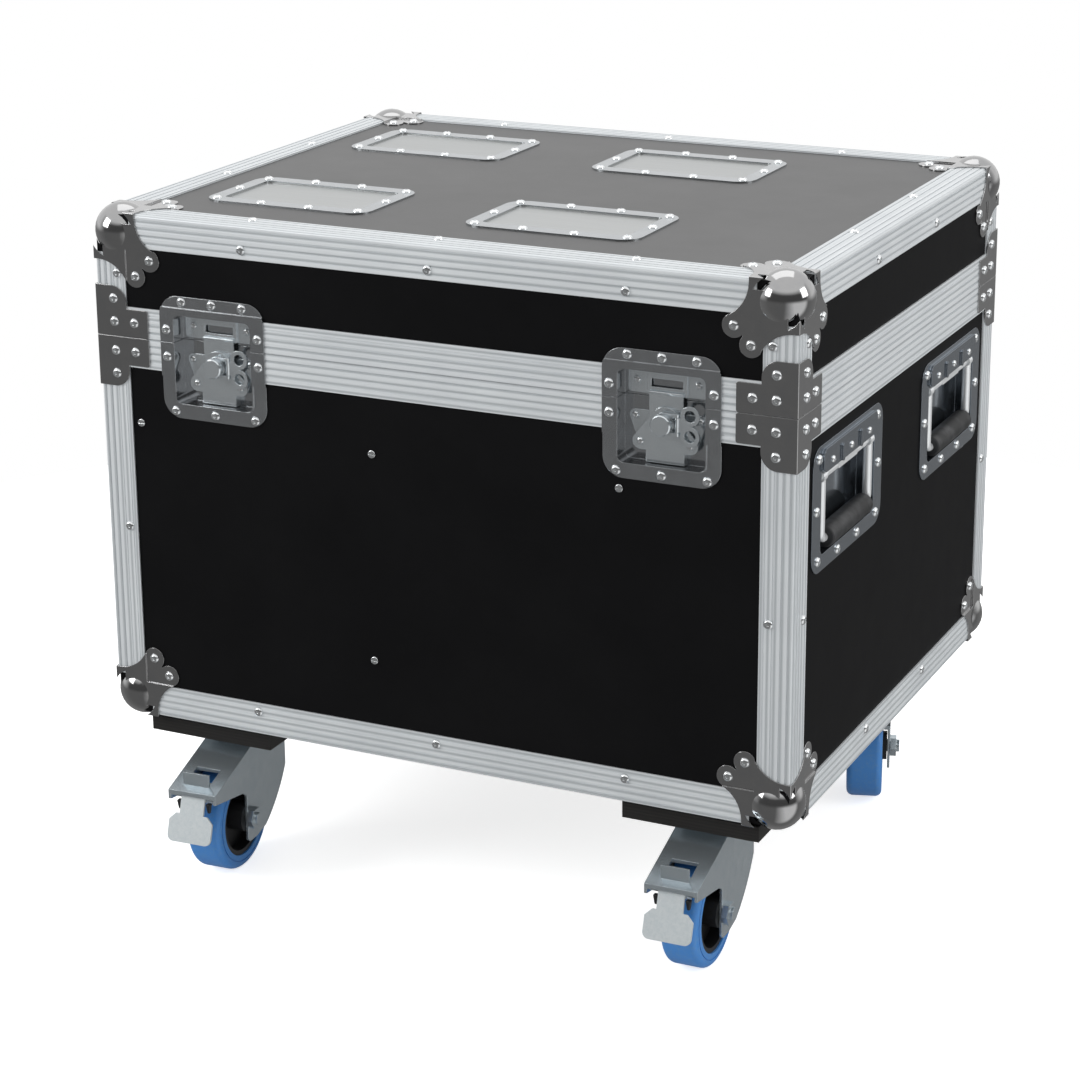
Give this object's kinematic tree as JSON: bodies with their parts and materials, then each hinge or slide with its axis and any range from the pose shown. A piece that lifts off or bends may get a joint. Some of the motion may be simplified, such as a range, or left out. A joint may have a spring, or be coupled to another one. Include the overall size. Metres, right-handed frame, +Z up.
{
  "type": "flight case",
  "caption": "Wheeled lighting flight case: plywood base, hinged lid, ribbed aluminium edges, ball corners, turn latches, sprung recessed handles, stacking dishes and swivel castors with brakes",
  "frame": {"origin": "on the floor, under the middle of the whole part's box", "axes": "+X to the right across the latch side's width, +Y from the latch side to the hinge side, +Z up"},
  "size_m": [0.67, 0.5896, 0.623],
  "materials": {
    "laminate": "plywood faced with near-black laminate, satin",
    "ply": "birch plywood stained black, matt",
    "aluminium": "mill-finish extrusion, ribbed",
    "pressed_steel": "bright plated pressing",
    "dish_steel": "satin zinc-plated pressing",
    "latch_steel": "bright plated",
    "zinc": "zinc-plated steel",
    "rivet": "bright rivet heads with a dimple",
    "grip_rubber": "moulded rubber grip, unmarked",
    "blue_tyre": "blue elastic rubber, unmarked",
    "hub_plastic": "black moulded nylon",
    "foam": "closed-cell foam lining"
  },
  "bodies": {
    "base": {"base_front_panel": "laminate", "base_back_panel": "laminate", "base_side_panels": "laminate", "base_floor": "ply", "base_edge_profiles": "aluminium", "base_rim": "aluminium", "base_ball_corners": "pressed_steel", "base_corner_braces": "pressed_steel", "base_latch_dishes": "pressed_steel", "latch_brackets": "pressed_steel", "handle_dishes": "pressed_steel", "handle_hinge_bars": "pressed_steel", "hinge_base_leaves": "zinc", "dividers": "ply", "base_foam": "foam", "castor_boards": "ply", "castor_plates": "zinc", "castor_bolts": "zinc", "base_rivets": "rivet", "panel_screws": "zinc"},
    "lid": {"lid_wall_panels": "laminate", "lid_top_panel": "laminate", "lid_edge_profiles": "aluminium", "lid_rim": "aluminium", "lid_ball_corners": "pressed_steel", "lid_corner_braces": "pressed_steel", "lid_latch_dishes": "pressed_steel", "keepers": "pressed_steel", "wheel_dishes": "dish_steel", "hinge_lid_leaves": "zinc", "lid_foam": "foam", "lid_rivets": "rivet"},
    "knob_left": {"latch_knob_left": "latch_steel"},
    "wing_left": {"latch_wing_left": "latch_steel"},
    "hook_left": {"latch_hook_left": "latch_steel"},
    "knob_right": {"latch_knob_right": "latch_steel"},
    "wing_right": {"latch_wing_right": "latch_steel"},
    "hook_right": {"latch_hook_right": "latch_steel"},
    "handle_left_back": {"bail_left_back": "pressed_steel", "grip_left_back": "grip_rubber"},
    "handle_left_front": {"bail_left_front": "pressed_steel", "grip_left_front": "grip_rubber"},
    "handle_right_front": {"bail_right_front": "pressed_steel", "grip_right_front": "grip_rubber"},
    "handle_right_back": {"bail_right_back": "pressed_steel", "grip_right_back": "grip_rubber"},
    "castor_fork_front_left": {"fork_front_left": "zinc"},
    "wheel_front_left": {"wheel_hub_front_left": "hub_plastic", "tyre_front_left": "blue_tyre"},
    "brake_front_left": {"brake_pedal_front_left": "zinc"},
    "castor_fork_front_right": {"fork_front_right": "zinc"},
    "wheel_front_right": {"wheel_hub_front_right": "hub_plastic", "tyre_front_right": "blue_tyre"},
    "brake_front_right": {"brake_pedal_front_right": "zinc"},
    "castor_fork_back_right": {"fork_back_right": "zinc"},
    "wheel_back_right": {"wheel_hub_back_right": "hub_plastic", "tyre_back_right": "blue_tyre"},
    "castor_fork_back_left": {"fork_back_left": "zinc"},
    "wheel_back_left": {"wheel_hub_back_left": "hub_plastic", "tyre_back_left": "blue_tyre"}
  },
  "joints": [
    {"name": "lid_hinge", "type": "hinge", "parent": "base", "child": "lid", "pos_m": [0, 0.29034, 0.506], "axis": [-1, 0, 0], "range_deg": [0, 95]},
    {"name": "latch_turn_left", "type": "hinge", "parent": "base", "child": "knob_left", "pos_m": [-0.212, -0.24666, 0.487], "axis": [0, -1, 0], "range_deg": [0, 180]},
    {"name": "hook_slide_left", "type": "slide", "parent": "base", "child": "hook_left", "axis": [0, 0, 1], "range_m": [0, 0.008]},
    {"name": "wing_fold_left", "type": "hinge", "parent": "knob_left", "child": "wing_left", "pos_m": [-0.2002, -0.24196, 0.487], "axis": [0, 0, -1], "range_deg": [0, 90]},
    {"name": "latch_turn_right", "type": "hinge", "parent": "base", "child": "knob_right", "pos_m": [0.212, -0.24666, 0.487], "axis": [0, -1, 0], "range_deg": [0, 180]},
    {"name": "hook_slide_right", "type": "slide", "parent": "base", "child": "hook_right", "axis": [0, 0, 1], "range_m": [0, 0.008]},
    {"name": "wing_fold_right", "type": "hinge", "parent": "knob_right", "child": "wing_right", "pos_m": [0.2238, -0.24196, 0.487], "axis": [0, 0, -1], "range_deg": [0, 90]},
    {"name": "handle_swing_left_back", "type": "hinge", "parent": "base", "child": "handle_left_back", "pos_m": [-0.3254, 0.15934, 0.4385], "axis": [0, 1, 0], "range_deg": [0, 90], "stiffness_Nm_per_rad": 0.5},
    {"name": "handle_swing_left_front", "type": "hinge", "parent": "base", "child": "handle_left_front", "pos_m": [-0.3254, -0.12066, 0.4385], "axis": [0, 1, 0], "range_deg": [0, 90], "stiffness_Nm_per_rad": 0.5},
    {"name": "handle_swing_right_front", "type": "hinge", "parent": "base", "child": "handle_right_front", "pos_m": [0.3254, -0.12066, 0.4385], "axis": [0, -1, 0], "range_deg": [0, 90], "stiffness_Nm_per_rad": 0.5},
    {"name": "handle_swing_right_back", "type": "hinge", "parent": "base", "child": "handle_right_back", "pos_m": [0.3254, 0.15934, 0.4385], "axis": [0, -1, 0], "range_deg": [0, 90], "stiffness_Nm_per_rad": 0.5},
    {"name": "castor_swivel_front_left", "type": "hinge", "parent": "base", "child": "castor_fork_front_left", "pos_m": [-0.2365, -0.17866, 0.112], "axis": [0, 0, 1], "continuous": true},
    {"name": "wheel_spin_front_left", "type": "hinge", "parent": "castor_fork_front_left", "child": "wheel_front_left", "pos_m": [-0.23441, -0.2186, 0.05], "axis": [0.9986, 0.0523, 0], "continuous": true},
    {"name": "brake_swing_front_left", "type": "hinge", "parent": "castor_fork_front_left", "child": "brake_front_left", "pos_m": [-0.23132, -0.27752, 0.091], "axis": [-0.9986, -0.0523, 0], "range_deg": [0, 30]},
    {"name": "castor_swivel_front_right", "type": "hinge", "parent": "base", "child": "castor_fork_front_right", "pos_m": [0.2365, -0.17866, 0.112], "axis": [0, 0, 1], "continuous": true},
    {"name": "wheel_spin_front_right", "type": "hinge", "parent": "castor_fork_front_right", "child": "wheel_front_right", "pos_m": [0.2372, -0.21865, 0.05], "axis": [0.9998, 0.0175, 0], "continuous": true},
    {"name": "brake_swing_front_right", "type": "hinge", "parent": "castor_fork_front_right", "child": "brake_front_right", "pos_m": [0.23823, -0.27764, 0.091], "axis": [-0.9998, -0.0175, 0], "range_deg": [0, 30]},
    {"name": "castor_swivel_back_right", "type": "hinge", "parent": "base", "child": "castor_fork_back_right", "pos_m": [0.2365, 0.21734, 0.112], "axis": [0, 0, 1], "continuous": true},
    {"name": "wheel_spin_back_right", "type": "hinge", "parent": "castor_fork_back_right", "child": "wheel_back_right", "pos_m": [0.24886, 0.1793, 0.05], "axis": [0.9511, 0.309, 0], "continuous": true},
    {"name": "castor_swivel_back_left", "type": "hinge", "parent": "base", "child": "castor_fork_back_left", "pos_m": [-0.2365, 0.21734, 0.112], "axis": [0, 0, 1], "continuous": true},
    {"name": "wheel_spin_back_left", "type": "hinge", "parent": "castor_fork_back_left", "child": "wheel_back_left", "pos_m": [-0.22955, 0.17795, 0.05], "axis": [0.9848, 0.1736, 0], "continuous": true}
  ],
  "couplings": [
    {"joint": "hook_slide_left", "follows": "latch_turn_left", "m_per_rad": 0.0025465},
    {"joint": "hook_slide_right", "follows": "latch_turn_right", "m_per_rad": 0.0025465}
  ]
}
